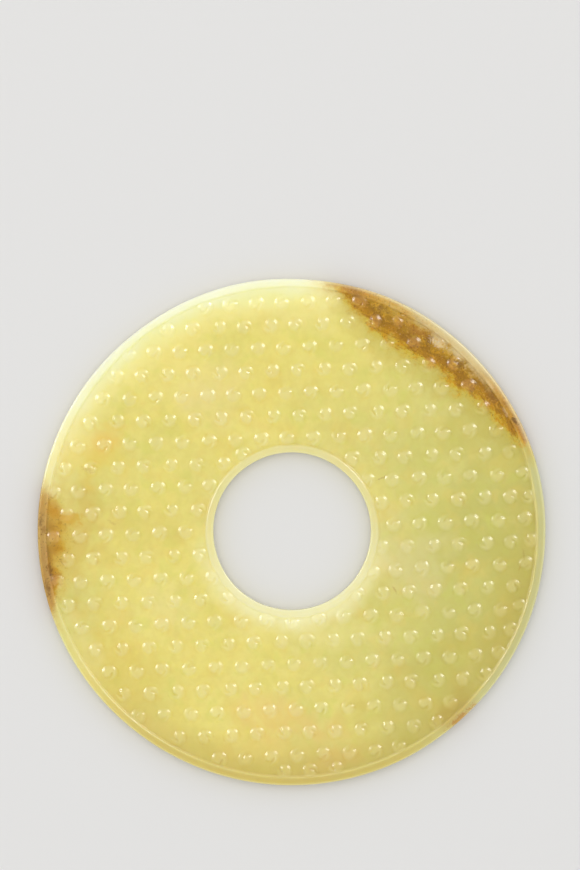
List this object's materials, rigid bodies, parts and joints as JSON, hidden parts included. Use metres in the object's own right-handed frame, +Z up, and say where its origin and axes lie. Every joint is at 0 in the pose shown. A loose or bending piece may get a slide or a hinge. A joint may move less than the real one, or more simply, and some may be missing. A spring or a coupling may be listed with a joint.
{
  "type": "jade bi disc",
  "caption": "Flat round jade bi disc with a central hole, raised plain rims and rows of small grain bosses on both faces, with a russet stain at the edge.",
  "frame": {"origin": "on the underside, on the axis of the round outer edge", "axes": "+Z up through the hole, out of the face that the picture shows, with the disc lying flat; +X and +Y are right and up on that face"},
  "size_m": [0.165, 0.165, 0.005],
  "materials": {
    "jade": "polished"
  },
  "bodies": {
    "root": {"jade_disc": "jade"}
  },
  "joints": []
}
